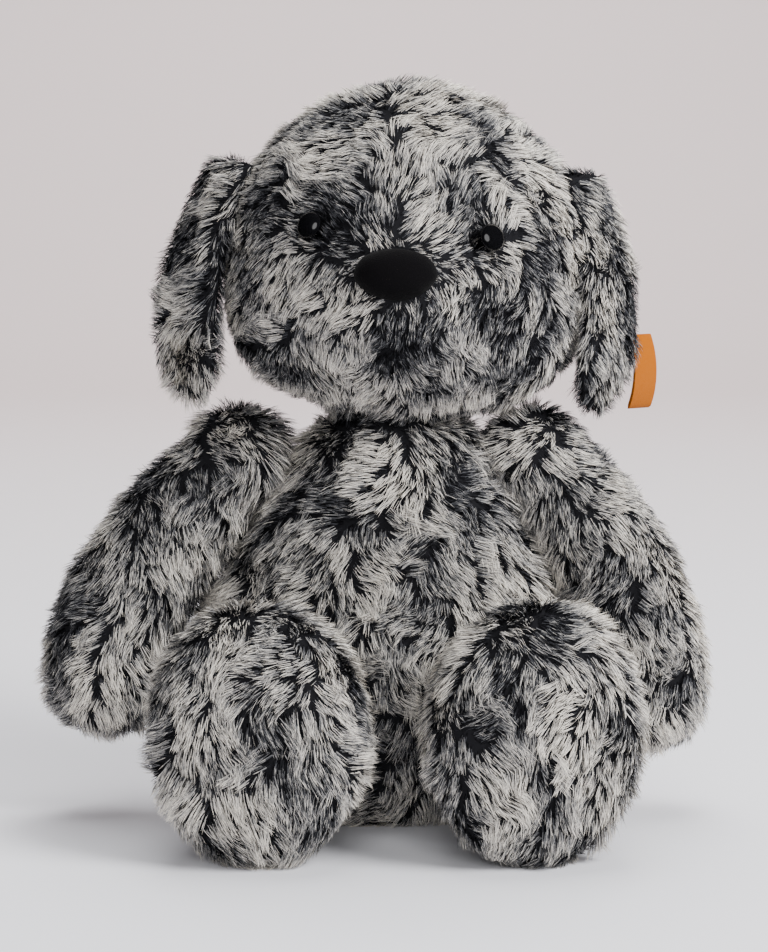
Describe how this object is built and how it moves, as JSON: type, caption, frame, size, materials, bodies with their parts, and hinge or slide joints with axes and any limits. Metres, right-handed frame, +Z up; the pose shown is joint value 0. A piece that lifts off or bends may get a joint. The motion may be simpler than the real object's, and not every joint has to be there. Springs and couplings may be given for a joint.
{
  "type": "plush dog",
  "caption": "Seated stuffed plush dog in long variegated fur, with floppy ears, sewn soft-jointed limbs, domed eyes and a flocked nose.",
  "frame": {"origin": "middle of the seat panel, on the surface that the dog sits on", "axes": "+Z up, the dog faces -Y, its left is +X"},
  "size_m": [0.2921, 0.2312, 0.3208],
  "materials": {
    "fur_fabric": "long pile, near-black at the root and cream at the tip",
    "polyester_filling": "loose fibre",
    "eye_plastic": "glossy",
    "nose_flock": "flocked, matt",
    "washer_plastic": "moulded",
    "sewing_thread": "twisted",
    "label_tape": "woven twill tape",
    "care_label_satin": "satin"
  },
  "bodies": {
    "torso": {"seat_panel": "fur_fabric", "belly_panel_left": "fur_fabric", "belly_panel_right": "fur_fabric", "back_panel_left": "fur_fabric", "back_panel_right": "fur_fabric", "torso_filling": "polyester_filling", "back_closing_thread": "sewing_thread", "care_label": "care_label_satin"},
    "neck": {"neck_gather": "fur_fabric"},
    "neck_seam": {"neck_gather_thread": "sewing_thread"},
    "head": {"crown_panel": "fur_fabric", "cheek_panel_left": "fur_fabric", "cheek_panel_right": "fur_fabric", "muzzle_panel_left": "fur_fabric", "muzzle_panel_right": "fur_fabric", "chin_panel": "fur_fabric", "head_filling": "polyester_filling", "eye_left": "eye_plastic", "eye_right": "eye_plastic", "eye_washer_left": "washer_plastic", "eye_washer_right": "washer_plastic", "nose": "nose_flock", "nose_washer": "washer_plastic", "mouth_stitch": "sewing_thread"},
    "ear_left": {"ear_outer_left": "fur_fabric", "ear_lining_left": "fur_fabric"},
    "ear_right": {"ear_outer_right": "fur_fabric", "ear_lining_right": "fur_fabric"},
    "ear_label": {"ear_label": "label_tape"},
    "tail_root": {"tail_gather": "fur_fabric"},
    "tail": {"tail_top": "fur_fabric", "tail_under": "fur_fabric", "tail_filling": "polyester_filling"},
    "shoulder_left": {"shoulder_gather_left": "fur_fabric"},
    "arm_left": {"arm_outer_left": "fur_fabric", "arm_inner_left": "fur_fabric", "arm_filling_left": "polyester_filling"},
    "hip_left": {"hip_gather_left": "fur_fabric"},
    "leg_left": {"leg_top_left": "fur_fabric", "leg_under_left": "fur_fabric", "sole_left": "fur_fabric", "leg_filling_left": "polyester_filling"},
    "shoulder_right": {"shoulder_gather_right": "fur_fabric"},
    "arm_right": {"arm_outer_right": "fur_fabric", "arm_inner_right": "fur_fabric", "arm_filling_right": "polyester_filling"},
    "hip_right": {"hip_gather_right": "fur_fabric"},
    "leg_right": {"leg_top_right": "fur_fabric", "leg_under_right": "fur_fabric", "sole_right": "fur_fabric", "leg_filling_right": "polyester_filling"}
  },
  "joints": [
    {"name": "head_turn", "type": "hinge", "parent": "torso", "child": "neck", "pos_m": [0.006, 0.004, 0.181], "axis": [0, 0, 1], "range_deg": [-40, 40], "stiffness_Nm_per_rad": 0.6},
    {"name": "head_tilt", "type": "hinge", "parent": "neck", "child": "neck_seam", "pos_m": [0.006, 0.004, 0.181], "axis": [0, 1, 0], "range_deg": [-8, 8], "stiffness_Nm_per_rad": 2.5},
    {"name": "head_nod", "type": "hinge", "parent": "neck_seam", "child": "head", "pos_m": [0.006, 0.004, 0.181], "axis": [1, 0, 0], "range_deg": [-9, 9], "stiffness_Nm_per_rad": 2.5},
    {"name": "ear_flop_left", "type": "hinge", "parent": "head", "child": "ear_left", "pos_m": [0.086, 0, 0.283], "axis": [-0.4695, -0.8829, 0], "range_deg": [0, 100], "stiffness_Nm_per_rad": 0.02},
    {"name": "ear_flop_right", "type": "hinge", "parent": "head", "child": "ear_right", "pos_m": [-0.067, 0, 0.289], "axis": [-0.5592, 0.829, 0], "range_deg": [0, 100], "stiffness_Nm_per_rad": 0.02},
    {"name": "ear_label_flex", "type": "hinge", "parent": "ear_left", "child": "ear_label", "pos_m": [0.1105, 0.0155, 0.212], "axis": [0, 0, 1], "range_deg": [-20, 30], "stiffness_Nm_per_rad": 0.002},
    {"name": "arm_swing_left", "type": "hinge", "parent": "torso", "child": "shoulder_left", "pos_m": [0.067, -0.002, 0.159], "axis": [-0.9511, -0.309, 0], "range_deg": [-15, 70], "stiffness_Nm_per_rad": 0.35},
    {"name": "arm_spread_left", "type": "hinge", "parent": "shoulder_left", "child": "arm_left", "pos_m": [0.067, -0.002, 0.159], "axis": [0.309, -0.9511, 0], "range_deg": [0, 42], "stiffness_Nm_per_rad": 0.35},
    {"name": "arm_swing_right", "type": "hinge", "parent": "torso", "child": "shoulder_right", "pos_m": [-0.065, -0.002, 0.159], "axis": [-0.9511, 0.309, 0], "range_deg": [-15, 70], "stiffness_Nm_per_rad": 0.35},
    {"name": "arm_spread_right", "type": "hinge", "parent": "shoulder_right", "child": "arm_right", "pos_m": [-0.065, -0.002, 0.159], "axis": [0.309, 0.9511, 0], "range_deg": [0, 42], "stiffness_Nm_per_rad": 0.35},
    {"name": "leg_lift_left", "type": "hinge", "parent": "torso", "child": "hip_left", "pos_m": [0.048, -0.058, 0.045], "axis": [-1, 0, 0], "range_deg": [-15, 22], "stiffness_Nm_per_rad": 0.8},
    {"name": "leg_splay_left", "type": "hinge", "parent": "hip_left", "child": "leg_left", "pos_m": [0.048, -0.058, 0.045], "axis": [0, 0, 1], "range_deg": [-6, 20], "stiffness_Nm_per_rad": 0.8},
    {"name": "leg_lift_right", "type": "hinge", "parent": "torso", "child": "hip_right", "pos_m": [-0.047, -0.058, 0.045], "axis": [-1, 0, 0], "range_deg": [-15, 22], "stiffness_Nm_per_rad": 0.8},
    {"name": "leg_splay_right", "type": "hinge", "parent": "hip_right", "child": "leg_right", "pos_m": [-0.047, -0.058, 0.045], "axis": [0, 0, -1], "range_deg": [-6, 20], "stiffness_Nm_per_rad": 0.8},
    {"name": "tail_wag", "type": "hinge", "parent": "torso", "child": "tail_root", "pos_m": [0, 0.064, 0.036], "axis": [0, 0, 1], "range_deg": [-25, 25], "stiffness_Nm_per_rad": 0.02},
    {"name": "tail_lift", "type": "hinge", "parent": "tail_root", "child": "tail", "pos_m": [0, 0.064, 0.036], "axis": [1, 0, 0], "range_deg": [-15, 16], "stiffness_Nm_per_rad": 0.02}
  ]
}
